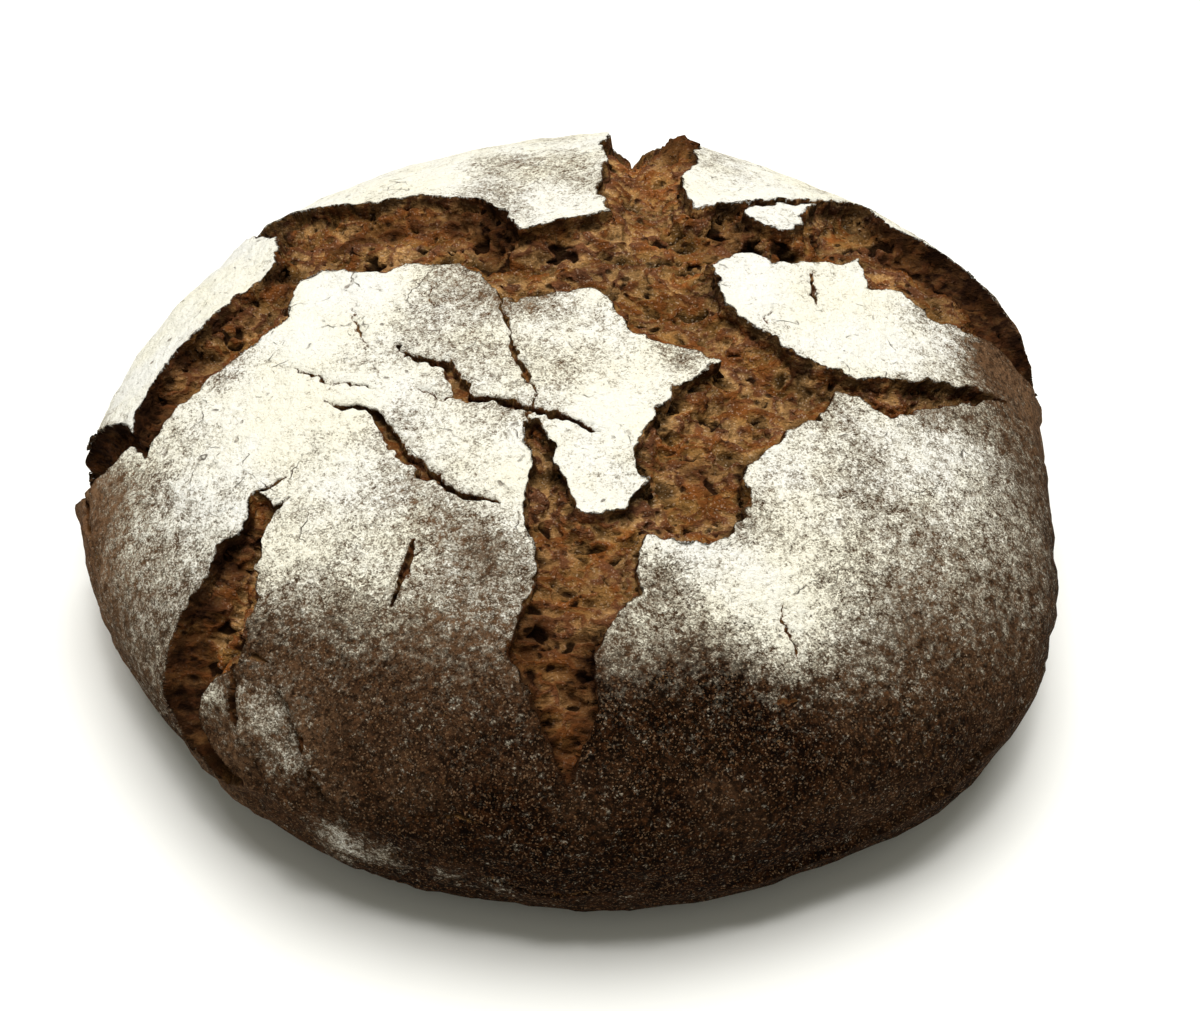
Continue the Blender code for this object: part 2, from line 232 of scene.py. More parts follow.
# Where the crumb is darkened, partly by real toasting and partly by painted shade under the lips,
# in hollows and on crumb turned away from the light, or left paler: (place on the map, reach,
# share)
TOASTED_AND_SHADED = (
    ((-132, -5), 15, 0.8), ((-20, -132), 10, 0.35), ((-146, -4), 16, 1.3), ((136, 52), 10, 0.6),
    ((17, 92), 15, -0.6), ((14, 112), 8, -0.4), ((24, -28), 14, -0.3), ((22, 66), 12, -0.3),
    ((30, -38), 6, 0.8), ((5, -101), 6, 0.9), ((30, 114), 9, 0.85), ((-130, -8), 20, 1.0),
    ((-106, -104), 12, 0.45), ((-114, -110), 16, 0.5), ((120, 62), 12, 0.7), ((130, 46), 10, 0.8),
    ((142, 34), 14, 0.8), ((-4, -124), 12, 0.35), ((52, 64), 8, 0.6), ((-20, 58), 9, 0.5),
    ((31, 98), 6, 0.6), ((-8, -98), 20, 0.35), ((-10, -70), 9, 0.30), ((-92, -66), 20, 0.15),
    ((96, 74), 8, 0.8), ((108, 66), 11, 0.8), ((120, 58), 12, 0.8), ((-89, -51), 4, 0.9),
    ((-95, -60), 4, 1.0), ((-103, -72), 5, 1.1), ((-111, -83), 6, 1.1), ((-119, -94), 6, 1.0),
    ((-87, -64), 5, -0.5), ((-91, -76), 7, -0.6), ((-99, -88), 7, -0.5), ((-73, -114), 14, 0.6),
    ((-93, -101), 9, 0.8), ((-45, -72), 12, 0.3), ((53, -88), 10, 0.4), ((-48, 70), 5, 0.5),
    ((-66, 70), 6, 0.5), ((-28, 66), 6, 0.5), ((-12, -92), 5, 0.5), ((2, -104), 5, 0.5),
    ((-57, 70), 4, 0.8), ((-38, 69), 4, 0.8), ((-23, 57), 5, 0.8), ((-74, 66), 5, 0.7),
    ((-30, 66), 4, 0.6), ((-56, 52), 9, -0.3), ((-40, 48), 8, -0.3), ((-8, 56), 6, 0.5),
    ((-86, 46), 5, 0.5), ((-100, 34), 6, 0.5), ((-112, 18), 6, 0.5), ((40, 60), 5, 0.5),
    ((-14, -116), 6, 0.7), ((-7, -130), 6, 0.7), ((3, -116), 5, 0.6), ((-16, -104), 5, 0.6),
)

# Flour: where it has thinned to half, as (bearing in degrees, distance from the crown, fade)
FLOUR_EDGE = ((-180, 133, 4), (-171, 127, 4), (-163, 120, 8), (-151, 118, 10), (-146, 115, 12),
              (-135, 103, 9), (-125, 97, 9), (-115, 91, 8), (-105, 89, 8), (-95, 82, 9),
              (-86, 76, 8), (-74, 86, 8), (-67, 96, 7), (-60, 105, 7), (-54, 106, 9),
              (-40, 95, 12), (-30, 96, 15), (-21, 104, 13), (-12, 110, 10), (-5, 100, 10),
              (0, 105, 8), (7, 111, 7), (14, 119, 7), (25, 130, 8), (60, 146, 8), (90, 152, 8),
              (125, 152, 8), (150, 150, 5), (165, 152, 5), (174, 150, 4), (180, 133, 4))
FLOUR_FULL = 0.95
FLOUR_FILM = 0.02            # the film of dust that lies even beyond the edge
FLOUR_EDGE_STRAY = (3.0, 26.0)
FLOUR_SWING = (0.12, 17.0)
# Flour, spot by spot: (place on the map, reach, flour gained or lost)
FLOUR_SPOTS = (
    ((-33, 12), 18, -0.36), ((-36, 34), 10, -0.35), ((-14, 22), 11, -0.42), ((-48, 0), 9, -0.20),
    ((12, 12), 8, -0.20), ((30, 0), 9, -0.45), ((0, 0), 26, -0.18), ((-28, -10), 12, -0.18),
    ((-24, -24), 10, -0.22), ((-56, -28), 14, -0.20), ((-44, -48), 14, -0.18),
    ((-64, -48), 18, -0.15), ((-32, -64), 16, -0.48), ((-16, -70), 12, -0.25),
    ((-108, -20), 14, -0.30), ((-110, -44), 9, -0.18), ((-120, -42), 12, 0.14),
    ((-96, 1), 9, -0.40), ((-24, 70), 14, -0.24), ((-26, 100), 28, -0.34), ((0, 78), 12, -0.36),
    ((40, 106), 14, -0.28), ((8, 30), 12, -0.12), ((64, -42), 14, -0.10), ((66, -18), 13, -0.44),
    ((92, -14), 14, -0.24), ((38, -58), 11, -0.40), ((24, -76), 9, -0.24), ((12, -94), 12, 0.25),
    ((84, -54), 12, -0.14), ((98, 32), 11, -0.34), ((118, 24), 11, -0.40), ((-100, -96), 6, 0.30),
    ((-90, -104), 8, 0.16), ((-82, -106), 8, 0.30), ((-78, -118), 6, 0.30), ((-74, -145), 8, 0.50),
    ((-60, -152), 6, 0.30), ((-42, -161), 5, 0.25), ((-26, -167), 5, 0.18),
    ((-125, -72), 30, 0.21), ((110, -42), 34, 0.18), ((130, -10), 24, 0.08),
    ((-20, -104), 24, 0.05), ((50, -86), 20, 0.12), ((54, -58), 18, -0.10), ((96, -54), 22, 0.08),
    ((-152, 70), 60, 0.10), ((-40, 110), 30, 0.14),
)
# Where the crust is paler: baked less dark, and on the rims at the left and right also painted
# light; where no spot reaches it stays darkest, partly as painted shade: (place on the map, reach,
# share)
PALE_AND_LIT_SPOTS = (
    ((-150, -30), 45, 0.85), ((-150, 60), 60, 0.8), ((-60, 160), 80, 0.8), ((80, 150), 80, 0.8),
    ((150, 30), 50, 0.55), ((0, 30), 90, 0.75), ((-95, -115), 35, 0.35), ((-20, -100), 20, 0.3),
    ((110, -70), 40, 0.2), ((-35, -62), 24, 0.45),
)

# Mesh
SPHERE_LEVEL = 7
LAST_RING = 0.80             # share of the turn from pole to pole that the map takes up
NEAR_TEAR = 2.5
NEAR_EDGE = 4.0              # vertices this near to a tear are fitted to its ragged edge
TRIANGLES = 197000
SETTLE_REACH = 0.27
SETTLE_STEP = 0.2
SLOPE_STEP = 0.8
BASE_SNAP = 0.05


# ---------------------------------------------------------------- form of the loaf

def plan_radius(bearing):
    """Radius of the loaf's outline as seen from above."""
    share = np.ones_like(bearing)
    for waves, size, crest in PLAN_WAVES:
        share += size * np.cos(waves * bearing - math.radians(crest))
    return MEAN_RADIUS * share


def section(steps=2500):
    """The loaf's section from the crown to the foot: length, radius share and height."""
    turn = np.linspace(0.0, math.pi / 2, steps)
    upper_r = np.sin(turn) ** (2 / SHOULDER_R)
    upper_z = WAIST_HEIGHT + (HEIGHT - WAIST_HEIGHT) * np.cos(turn) ** (2 / SHOULDER_Z)
    lower_r = BASE_SHARE + (1 - BASE_SHARE) * np.cos(turn[1:])
    lower_z = WAIST_HEIGHT * (1 - np.sin(turn[1:]))
    share = np.concatenate((upper_r, lower_r))
    height = np.concatenate((upper_z, lower_z))
    run = np.hypot(np.diff(share) * MEAN_RADIUS, np.diff(height))
    return np.concatenate(((0.0,), np.cumsum(run))), share, height


def smooth_step(value):
    value = np.clip(value, 0.0, 1.0)
    return value * value * (3 - 2 * value)


def length_of(points):
    return np.hypot(points[:, 0], points[:, 1])


def bearing_of(points):
    return np.arctan2(points[:, 1], points[:, 0])


def noise_at(points, length, seed):
    """Smooth noise of about -1 to 1; points are on the map or in space.

    Each use has a seed of its own, any number, so that no two look alike.
    """
    scaled = np.zeros((len(points), 3))
    scaled[:, :points.shape[1]] = points / length
    scaled[:, 2] += seed
    return np.array([noise.noise(place) for place in scaled.tolist()]) * 2


def swing_at(points, swing, seed):
    """Factor that swings about 1; swing is (how much, over what length)."""
    size, length = swing
    return 1 + size * noise_at(points, length, seed)


def layered_noise(points, layers):
    """Sum of noises, each given as (size, length, seed)."""
    return sum(size * noise_at(points, length, seed) for size, length, seed in layers)


def gap_to_outline(points, outline):
    """Distance of each point outside a closed outline; inside it is negative."""
    corners = np.array(outline, dtype=float)
    nearest = np.full(len(points), np.inf)
    inside = np.zeros(len(points), dtype=bool)
    for start, end in zip(corners, np.roll(corners, -1, axis=0)):
        edge = end - start
        along = np.clip(((points - start) @ edge) / (edge @ edge), 0.0, 1.0)
        offset = points - start - along[:, None] * edge
        nearest = np.minimum(nearest, length_of(offset))
        if start[1] != end[1]:
            straddles = (start[1] > points[:, 1]) != (end[1] > points[:, 1])
            crossing = start[0] + (points[:, 1] - start[1]) * edge[0] / edge[1]
            inside ^= straddles & (points[:, 0] < crossing)
    return np.where(inside, -nearest, nearest)


def along_path(points, path):
    """Nearest distance to a path, its sign (left positive) and the share of its length."""
    stations = np.array(path, dtype=float)
    lengths = np.hypot(*np.diff(stations, axis=0).T)
    done = np.concatenate(((0.0,), np.cumsum(lengths)))
    nearest = np.full(len(points), np.inf)
    side = np.ones(len(points))
    share = np.zeros(len(points))
    for index, start in enumerate(stations[:-1]):
        edge = stations[index + 1] - start
        along = np.clip(((points - start) @ edge) / (edge @ edge), 0.0, 1.0)
        offset = points - start - along[:, None] * edge
        distance = length_of(offset)
        closer = distance < nearest
        nearest[closer] = distance[closer]
        turn = edge[0] * offset[:, 1] - edge[1] * offset[:, 0]
        side[closer] = np.where(turn[closer] >= 0, 1.0, -1.0)
        share[closer] = (done[index] + along[closer] * lengths[index]) / done[-1]
    return nearest, side, share


def plain_opening(points):
    """Distance from the nearest torn edge before it is made ragged; positive in a tear."""
    opening = np.full(len(points), np.inf)
    for outline in PLATES:
        opening = np.minimum(opening, gap_to_outline(points, outline))
    return np.maximum(opening, -gap_to_outline(points, LEFT_CUT))


def low_share(points):
    """0 on the top of the loaf, 1 low on its sides."""
    return smooth_step((length_of(points) - LOW_START) / LOW_RUN)


def tear_opening(points):
    """Distance from the nearest ragged edge; the finer teeth fade away down the wall."""
    size, length, seed = RAGGED[0]
    opening = plain_opening(points) + size * noise_at(points, length, seed)
    kept = np.exp(-np.maximum(opening, 0.0) / RAGGED_FADE) * (1 - LOW_TEETH * low_share(points))
    for size, length, seed in RAGGED[1:]:
        opening = opening + kept * size * noise_at(points, length, seed)
    return opening


def crack_splits(points):
    """How far the cracks have opened at each point, as a depth."""
    strayed = points.copy()
    for size, length in CRACK_WANDER:
        strayed += size * np.stack((noise_at(points, length, 41.0),
                                    noise_at(points, length, 53.0)), axis=1)
    swing = swing_at(points, CRACK_SWING, 47.0)
    deepest = np.zeros(len(points))
    for path, half_width, depth in CRACKS:
        distance, _, share = along_path(strayed, path)
        taper = np.sqrt(np.clip(np.sin(math.pi * np.clip(share, 0.02, 0.98)), 0.0, 1.0))
        split = smooth_step((half_width * taper * swing - distance) / CRACK_SIDE + CRACK_START)
        deepest = np.maximum(deepest, split * depth)
    return deepest


def fold_rise(points):
    """Raised sides of the folds, each fading away from its edge and to its ends."""
    rise = np.zeros(len(points))
    for path, height, run in FOLDS:
        distance, side, share = along_path(points, path)
        ends = smooth_step(np.minimum(share, 1 - share) * FOLD_ENDS)
        rise += np.where(side > 0, height, -FOLD_DIP * height) * ends * np.exp(-distance / run)
    return rise


class Crust:
    """The smooth loaf, as a map of its skin and as a form in space."""

    def __init__(self):
        self.length, self.share, self.height = section()
        self.foot = self.length[-1]
        self.share_slope = np.gradient(self.share, self.length)
        self.height_slope = np.gradient(self.height, self.length)

    def map_of(self, sphere):
        """Place on the map, and the share of the base that lies beyond the foot."""
        bearing = bearing_of(sphere)
        turn = np.arccos(np.clip(sphere[:, 2], -1.0, 1.0)) / math.pi
        along = np.minimum(turn / LAST_RING, 1.0) * self.foot
        beyond = np.clip((turn - LAST_RING) / (1 - LAST_RING), 0.0, 1.0)
        return along[:, None] * np.stack((np.cos(bearing), np.sin(bearing)), axis=1), beyond

    def place(self, points, beyond):
        """Where points of the map lie in space, and which way the skin faces there."""
        bearing = bearing_of(points)
        along = np.minimum(length_of(points), self.foot)
        plan = plan_radius(bearing)
        radius = np.interp(along, self.length, self.share) * plan * (1 - beyond)
        level = np.interp(along, self.length, self.height)
        cos_b, sin_b = np.cos(bearing), np.sin(bearing)
        spot = np.stack((radius * cos_b - PLAN_CENTRE[0],
                         radius * sin_b - PLAN_CENTRE[1], level), axis=1)
        nudge = 1e-4
        plan_slope = (plan_radius(bearing + nudge) - plan_radius(bearing - nudge)) / (2 * nudge)
        round_x = plan_slope * cos_b - plan * sin_b
        round_y = plan_slope * sin_b + plan * cos_b
        radius_slope = np.interp(along, self.length, self.share_slope)
        level_slope = np.interp(along, self.length, self.height_slope)
        facing = np.stack((-round_y * level_slope, round_x * level_slope,
                           radius_slope * plan * (round_y * cos_b - round_x * sin_b)), axis=1)
        facing /= np.linalg.norm(facing, axis=1)[:, None]
        return spot, facing


# ---------------------------------------------------------------- mesh helpers

def points_of(mesh):
    flat = np.empty(len(mesh.vertices) * 3)
    mesh.vertices.foreach_get("co", flat)
    return flat.reshape(-1, 3)


def move_points(mesh, places):
    mesh.vertices.foreach_set("co", places.ravel())
    mesh.update()


def corners_of(mesh):
    """Vertex numbers of each face of a mesh of triangles."""
    corners = np.empty(len(mesh.loops), dtype=np.int32)
    mesh.loops.foreach_get("vertex_index", corners)
    return corners.reshape(-1, 3)


def write_value(mesh, name, values):
    layer = mesh.attributes.get(name) or mesh.attributes.new(name, 'FLOAT', 'POINT')
    layer.data.foreach_set("value", np.ascontiguousarray(values, dtype=np.float32))


def read_value(mesh, name):
    values = np.empty(len(mesh.vertices), dtype=np.float32)
    mesh.attributes[name].data.foreach_get("value", values)
    return values.astype(float)


def split_faces(piece, wanted):
    """Splits the wanted faces in four, with their vertices kept on the unit sphere."""
    mesh = piece.data
    bpy.context.tool_settings.mesh_select_mode = (False, False, True)
    bpy.ops.object.mode_set(mode='EDIT')
    bpy.ops.mesh.select_all(action='DESELECT')
    bpy.ops.object.mode_set(mode='OBJECT')
    mesh.polygons.foreach_set("select", wanted)
    bpy.ops.object.mode_set(mode='EDIT')
    bpy.ops.mesh.subdivide(number_cuts=1)
    bpy.ops.mesh.select_all(action='SELECT')
    bpy.ops.mesh.quads_convert_to_tris()
    bpy.ops.object.mode_set(mode='OBJECT')
    places = points_of(mesh)
    move_points(mesh, places / np.linalg.norm(places, axis=1)[:, None])


# ---------------------------------------------------------------- the loaf

def split_for_detail(piece, crust):
    """Splits all that is torn or cracked, twice, and then the steep walls once more."""
    for near, widest in ((NEAR_TEAR, RIM), (0.6 * NEAR_TEAR, RIM), (0.0, STEEP_RUN + 1.0)):
        mesh = piece.data
        middle = points_of(mesh)[corners_of(mesh)].mean(axis=1)
        middle /= np.linalg.norm(middle, axis=1)[:, None]
        points, beyond = crust.map_of(middle)
        opening = plain_opening(points)
        torn = (opening > -near - RAGGED[0][0]) & (opening < widest)
        for path, half_width, _ in CRACKS:
            distance, _, _ = along_path(points, path)
            torn |= distance < half_width + near
        split_faces(piece, torn & (beyond == 0.0))


def settle_on_edges(points):
    """Moves the points beside a wall's top and foot onto them, so that both run clean."""
    for level in (0.0, STEEP_RUN):
        opening = tear_opening(points)
        slope = np.stack([(tear_opening(points + step) - opening) / SETTLE_STEP
                          for step in ((SETTLE_STEP, 0.0), (0.0, SETTLE_STEP))], axis=1)
        short = np.where(np.abs(level - opening) < SETTLE_REACH, level - opening, 0.0)
        steepness = np.maximum((slope ** 2).sum(axis=1), 0.5)
        points = points + slope * (short / steepness)[:, None]
    return points


def undercut(points, opening):
    """Draws the upper part of each wall back under the crust."""
    slope = np.stack([(plain_opening(points + shift) - plain_opening(points - shift))
                      / (2 * SLOPE_STEP) for shift in SLOPE_STEP * np.eye(2)], axis=1)
    pull = np.where((opening > 0) & (opening < UNDERCUT_REACH),
                    np.sin(math.pi * opening / UNDERCUT_REACH) ** 2, 0.0)
    pull = pull * swing_at(points, UNDERCUT_SWING, 43.0) * (1 - low_share(points))
    return points - slope * (UNDERCUT * pull)[:, None]


def sink(points, opening, split):
    """How far the surface lies below the smooth crust, before the crumb's own relief."""
    back, front = FRONT_EASE
    ease = smooth_step((back - points[:, 1]) / (back - front))
    depth = np.where(points[:, 0] < FULL_DEPTH_LEFT_OF, TEAR_DEPTH,
                     TEAR_DEPTH + (FRONT_DEPTH - TEAR_DEPTH) * ease)
    swell = 1 - SWELL_SHARE * smooth_step((opening - SWELL_START) / SWELL_RUN)
    steep = smooth_step(opening / STEEP_RUN)
    wall = STEEP_SHARE * steep + (1 - STEEP_SHARE) * smooth_step(opening / SLOPE_RUN)
    mounds = steep * spots_on(points, MOUNDS)
    lip = LIP_HEIGHT * np.exp(np.minimum(opening, 0.0) / LIP_RUN) * (1 - steep)
    below = np.maximum(wall * depth * swell - mounds, -SWELL_LIMIT * steep) - lip
    return below + UNEVEN * noise_at(points, UNEVEN_LENGTH, 5.0) + split - fold_rise(points)


def ridges(points, length, seed):
    """Noise with sharp ridges of 1 between round hollows that go down to about -1."""
    return 1 - 2 * np.abs(noise_at(points, length, seed))


def pore_depths(places):
    """Depth of the round pores, from many sizes of scattered bubbles."""
    depths = np.zeros(len(places))
    for spacing, largest, seed in PORES:
        scaled = (places / spacing + seed).tolist()
        for index, place in enumerate(scaled):
            distances, cells = noise.voronoi(place)
            cell = cells[0]
            # a scattered share for each cell, from any large uneven numbers
            chance = math.sin(cell.x * 12.9898 + cell.y * 78.233 + cell.z * 37.719) * 43758.5453
            radius = largest * (chance - math.floor(chance))
            share = distances[0] * spacing / max(radius, 0.05)
            if share < 1.0:
                depth = PORE_DEPTH * radius * math.sqrt(1 - share * share)
                depths[index] = max(depths[index], depth)
    return depths


def cave_depths(points, stray):
    """Depth of the caves, whose outlines stray from plain ovals."""
    depths = np.zeros(len(points))
    for spot, half_width, half_height, depth in CAVES:
        offset = (points + stray - spot) / (half_width, half_height)
        share = length_of(offset)
        depths = np.maximum(depths, depth * smooth_step(1.3 * (1.15 - share)))
    return depths


def crumb_relief(points, places, opening):
    """Broad lumps of the torn crumb, its raised strands, and the depth of pores and caves."""
    drawn = places / DRAWN_OUT
    stray = np.stack([noise_at(drawn, STRAY[1], seed) for seed in (2.0, 12.0, 22.0)], axis=1)
    lumps = noise_at(drawn, LUMP_LENGTH, 5.0)
    drawn = drawn + STRAY[0] * stray
    strands = sum(share * ridges(drawn, length, seed) for share, length, seed in STRANDS)
    hollows = np.maximum(pore_depths(drawn), cave_depths(points, CAVE_STRAY * stray[:, :2]))
    return lumps, strands, hollows * smooth_step((opening - HOLLOWS_START) / HOLLOWS_RUN)


def crust_relief(points, places):
    """Unevenness of the baked skin: knobs low on the sides, thin layers round the foot."""
    along = length_of(points)
    bearing = bearing_of(points)
    skin = layered_noise(places, SKIN)
    low = along > KNOBS_START
    knobs = np.zeros(len(points))
    knobs[low] = layered_noise(places[low], KNOBS)
    layers = np.zeros(len(points))
    turned = np.stack((bearing[low] * LAYER_WAVES, along[low] / LAYER_LENGTH), axis=1)
    layers[low] = LAYER_SIZE * noise_at(turned, 1.0, 75.0)
    knobs *= (smooth_step((along - KNOBS_START) / KNOBS_RUN)
              * (1 - 0.75 * smooth_step((along - KNOBS_END) / KNOBS_END_RUN)))
    return skin + knobs + layers * smooth_step((along - LAYERS_START) / LAYERS_RUN)


def spots_on(points, spots):
    """Sum of soft round spots, each with its place, reach and gain."""
    total = np.zeros(len(points))
    for spot, reach, gain in spots:
        total += gain * np.exp(-(length_of(points - spot) / reach) ** 2)
    return total


def flour_cover(points):
    """How thickly flour lies on the crust, from 0 to about 1."""
    bearing = np.degrees(bearing_of(points))
    along = length_of(points)
    bearings, distances, fades = zip(*FLOUR_EDGE)
    stray, length = FLOUR_EDGE_STRAY
    edge = np.interp(bearing, bearings, distances) + stray * noise_at(points, length, 81.0)
    thinning = np.clip((along - edge) / np.interp(bearing, bearings, fades), -30.0, 30.0)
    cover = FLOUR_FILM + (FLOUR_FULL - FLOUR_FILM) / (1 + np.exp(thinning))
    cover = cover * swing_at(points, FLOUR_SWING, 83.0) + spots_on(points, FLOUR_SPOTS)
    return np.clip(cover, 0.0, 1.0)


def paint_attributes(mesh, points):
    """What the material reads: flour, paler crust with painted light on the rims, opened cracks
    with painted shade under their far lips, and crumb darkened by toasting and by painted shade.
    """
    write_value(mesh, "flour", flour_cover(points))
    write_value(mesh, "pale_and_lit", np.clip(spots_on(points, PALE_AND_LIT_SPOTS), 0.0, 1.0))
    split = crack_splits(points)
    # painted shade on the side of each crack under its far lip
    painted_crack_shade = split - crack_splits(points + (0.0, OVERHANG_REACH))
    write_value(mesh, "split", split)
    write_value(mesh, "painted_crack_shade", np.clip(painted_crack_shade, 0.0, 1.0))
    write_value(mesh, "toasted_and_shaded", np.clip(spots_on(points, TOASTED_AND_SHADED), -1.0, 1.0))


def shape_loaf(piece, crust):
    """Moves the sphere's vertices to the loaf: form, tears, then relief along the normals."""
    mesh = piece.data
    points, beyond = crust.map_of(points_of(mesh))
    along = length_of(points)
    near = (plain_opening(points) > -NEAR_EDGE) & (along < crust.foot - FOOT_RUN)
    points[near] = settle_on_edges(points[near])
    opening = np.minimum(plain_opening(points), -NEAR_EDGE)
    opening[near] = tear_opening(points[near])
    set_back = points.copy()
    torn = near & (opening > 0)
    set_back[torn] = undercut(points[torn], opening[torn])

    along = length_of(points)
    fade = smooth_step((crust.foot - along) / FOOT_RUN)
    spot, facing = crust.place(set_back, beyond)
    split = crack_splits(points)
    spot -= facing * (sink(points, opening, split) * fade)[:, None]
    move_points(mesh, spot * MM)

    outward = np.empty(len(mesh.vertices) * 3)
    mesh.vertex_normals.foreach_get("vector", outward)
    outward = outward.reshape(-1, 3)
    height = crust_relief(points, spot)
    lumps, strands, pores = np.zeros((3, len(spot)))
    crumb = (opening > 0) | (split > CRACK_SEEN)
    lumps[crumb], strands[crumb], pores[crumb] = crumb_relief(points[crumb], spot[crumb],
                                                              opening[crumb])
    open_share = np.maximum(smooth_step(opening / OPEN_RUN),
                            CRACK_CRUMB * smooth_step(split / CRACK_OPEN))
    torn_height = LUMP_RISE * lumps + STRAND_RISE * strands - pores
    torn_height = torn_height * (1 - LOW_CALM * low_share(points))
    height = height * (1 - open_share) + torn_height * open_share
    spot += outward * (height * fade)[:, None]
    spot[:, 2] = np.maximum(spot[:, 2], 0.0)
    move_points(mesh, spot * MM)

    for name, values in (("map_x", points[:, 0]), ("map_y", points[:, 1]), ("lumps", lumps),
                         ("strands", strands), ("pores", pores),
                         ("opening", np.clip(opening, -20.0, 20.0))):
        write_value(mesh, name, values)


def thin_mesh(piece):
    """Merges the flattest faces until the piece has the wanted number of triangles."""
    thin = piece.modifiers.new("Thin", 'DECIMATE')
    thin.ratio = min(1.0, TRIANGLES / len(piece.data.polygons))
    bpy.ops.object.modifier_apply(modifier=thin.name)


def level_base(mesh):
    """Puts the base exactly on the table."""
    places = points_of(mesh)
    places[places[:, 2] < BASE_SNAP * MM, 2] = 0.0
    move_points(mesh, places)


def make_loaf():
    """Splits a sphere where detail is wanted, shapes it, thins it and marks its surfaces."""
    bpy.ops.object.select_all(action='DESELECT')
    bpy.ops.mesh.primitive_ico_sphere_add(subdivisions=SPHERE_LEVEL, radius=1.0)
    piece = bpy.context.object
    piece.name = "rye_loaf"
    crust = Crust()
    split_for_detail(piece, crust)
    shape_loaf(piece, crust)
    thin_mesh(piece)
    level_base(piece.data)
    mesh = piece.data
    points = np.stack((read_value(mesh, "map_x"), read_value(mesh, "map_y")), axis=1)
    paint_attributes(mesh, points)
    bpy.ops.object.shade_smooth()
    print("loaf:", len(mesh.polygons))
    return piece


# ---------------------------------------------------------------- materials

class Nodes:
    """Places nodes in a tree and links them, one call to a node."""

    def __init__(self, tree):
        self.tree = tree
        self.column = 0

    def add(self, kind, values=(), **settings):
        node = self.tree.nodes.new(kind)
        node.location = (self.column * 180, 0)
        self.column += 1
        for name, value in settings.items():
            setattr(node, name, value)
        for key, value in dict(values).items():
            self.feed(node.inputs[key], value)
        return node

    def feed(self, socket, value):
        if isinstance(value, bpy.types.NodeSocket):
            self.tree.links.new(value, socket)
        else:
            socket.default_value = value

    def math(self, operation, first, second=0.0, third=0.0):
        node = self.add('ShaderNodeMath', {0: first, 1: second, 2: third}, operation=operation)
        return node.outputs[0]

    def spread(self, value, low, high, to_low=0.0, to_high=1.0, smooth=False):
        """Maps value from low..high to to_low..to_high, held at the ends."""
        node = self.add('ShaderNodeMapRange', {'Value': value, 'From Min': low, 'From Max': high,
                                               'To Min': to_low, 'To Max': to_high})
        node.interpolation_type = 'SMOOTHSTEP' if smooth else 'LINEAR'
        return node.outputs['Result']

    def noise(self, place, scale, detail=2.0, roughness=0.5):
        node = self.add('ShaderNodeTexNoise', {'Vector': place, 'Scale': scale, 'Detail': detail,
                                               'Roughness': roughness})
        return node.outputs['Fac']

    def cells(self, place, scale):
        """A random value for each small grain."""
        node = self.add('ShaderNodeTexVoronoi', {'Vector': place, 'Scale': scale})
        parts = self.add('ShaderNodeSeparateColor', {'Color': node.outputs['Color']})
        return parts.outputs['Red']

    def mix(self, share, first, second):
        node = self.add('ShaderNodeMix', data_type='RGBA')
        self.feed(node.inputs['Factor'], share)
        self.feed(node.inputs[6], first)
        self.feed(node.inputs[7], second)
        return node.outputs[2]

    def weighted(self, *parts):
        """Sum of (value, weight) parts."""
        total = 0.0
        for value, weight in parts:
            total = self.math('MULTIPLY_ADD', value, weight, total)
        return total

    def times(self, first, *others):
        for other in others:
            first = self.math('MULTIPLY', first, other)
        return first

    def within(self, value):
        """Value held between 0 and 1."""
        return self.math('MINIMUM', self.math('MAXIMUM', value, 0.0), 1.0)

    def attribute(self, name):
        node = self.add('ShaderNodeAttribute', attribute_name=name)
        return node.outputs['Fac']

    def use(self, group, **values):
        """Sets a node group in the tree with its inputs fed; gives its outputs."""
        return self.add('ShaderNodeGroup', values, node_tree=group).outputs


def new_group(name, inputs, outputs):
    """An empty shader node group with named inputs (and their values) and outputs."""
    group = bpy.data.node_groups.new(name, 'ShaderNodeTree')
    for label, kind, value in inputs:
        socket = group.interface.new_socket(label, in_out='INPUT', socket_type=kind)
        if value is not None:
            socket.default_value = value
    for label, kind in outputs:
        group.interface.new_socket(label, in_out='OUTPUT', socket_type=kind)
    nodes = Nodes(group)
    source = nodes.add('NodeGroupInput')
    result = nodes.add('NodeGroupOutput')
    return group, nodes, source.outputs, result.inputs


FLOAT = 'NodeSocketFloat'
COLOUR = 'NodeSocketColor'
VECTOR = 'NodeSocketVector'

# Fineness of the patterns, in repeats to a metre
GRAINS = 2600.0
CRUMB_GRAINS = 2300.0
FLECKS = 1100.0
FLAKES = 900.0
FRAYS = 800.0
FINE_PATCHES = 560.0
TUFTS = 420.0
CLUMPS = 330.0
FINE_HOLES = 280.0
HOLED_AREAS = 190.0
PITS = 170.0
FLOUR_KNOBS = 170.0
SHADE_STRAY = 170.0
CRACKLE_STRAY = 120.0
CRUMB_PATCHES = 120.0
CRACKLED_AREAS = 110.0
DRIFTS = 75.0
CRACKLE_CELLS = 62.0
CRUMB_ZONES = 62.0
BROAD_PATCHES = 38.0
TINTS = 26.0

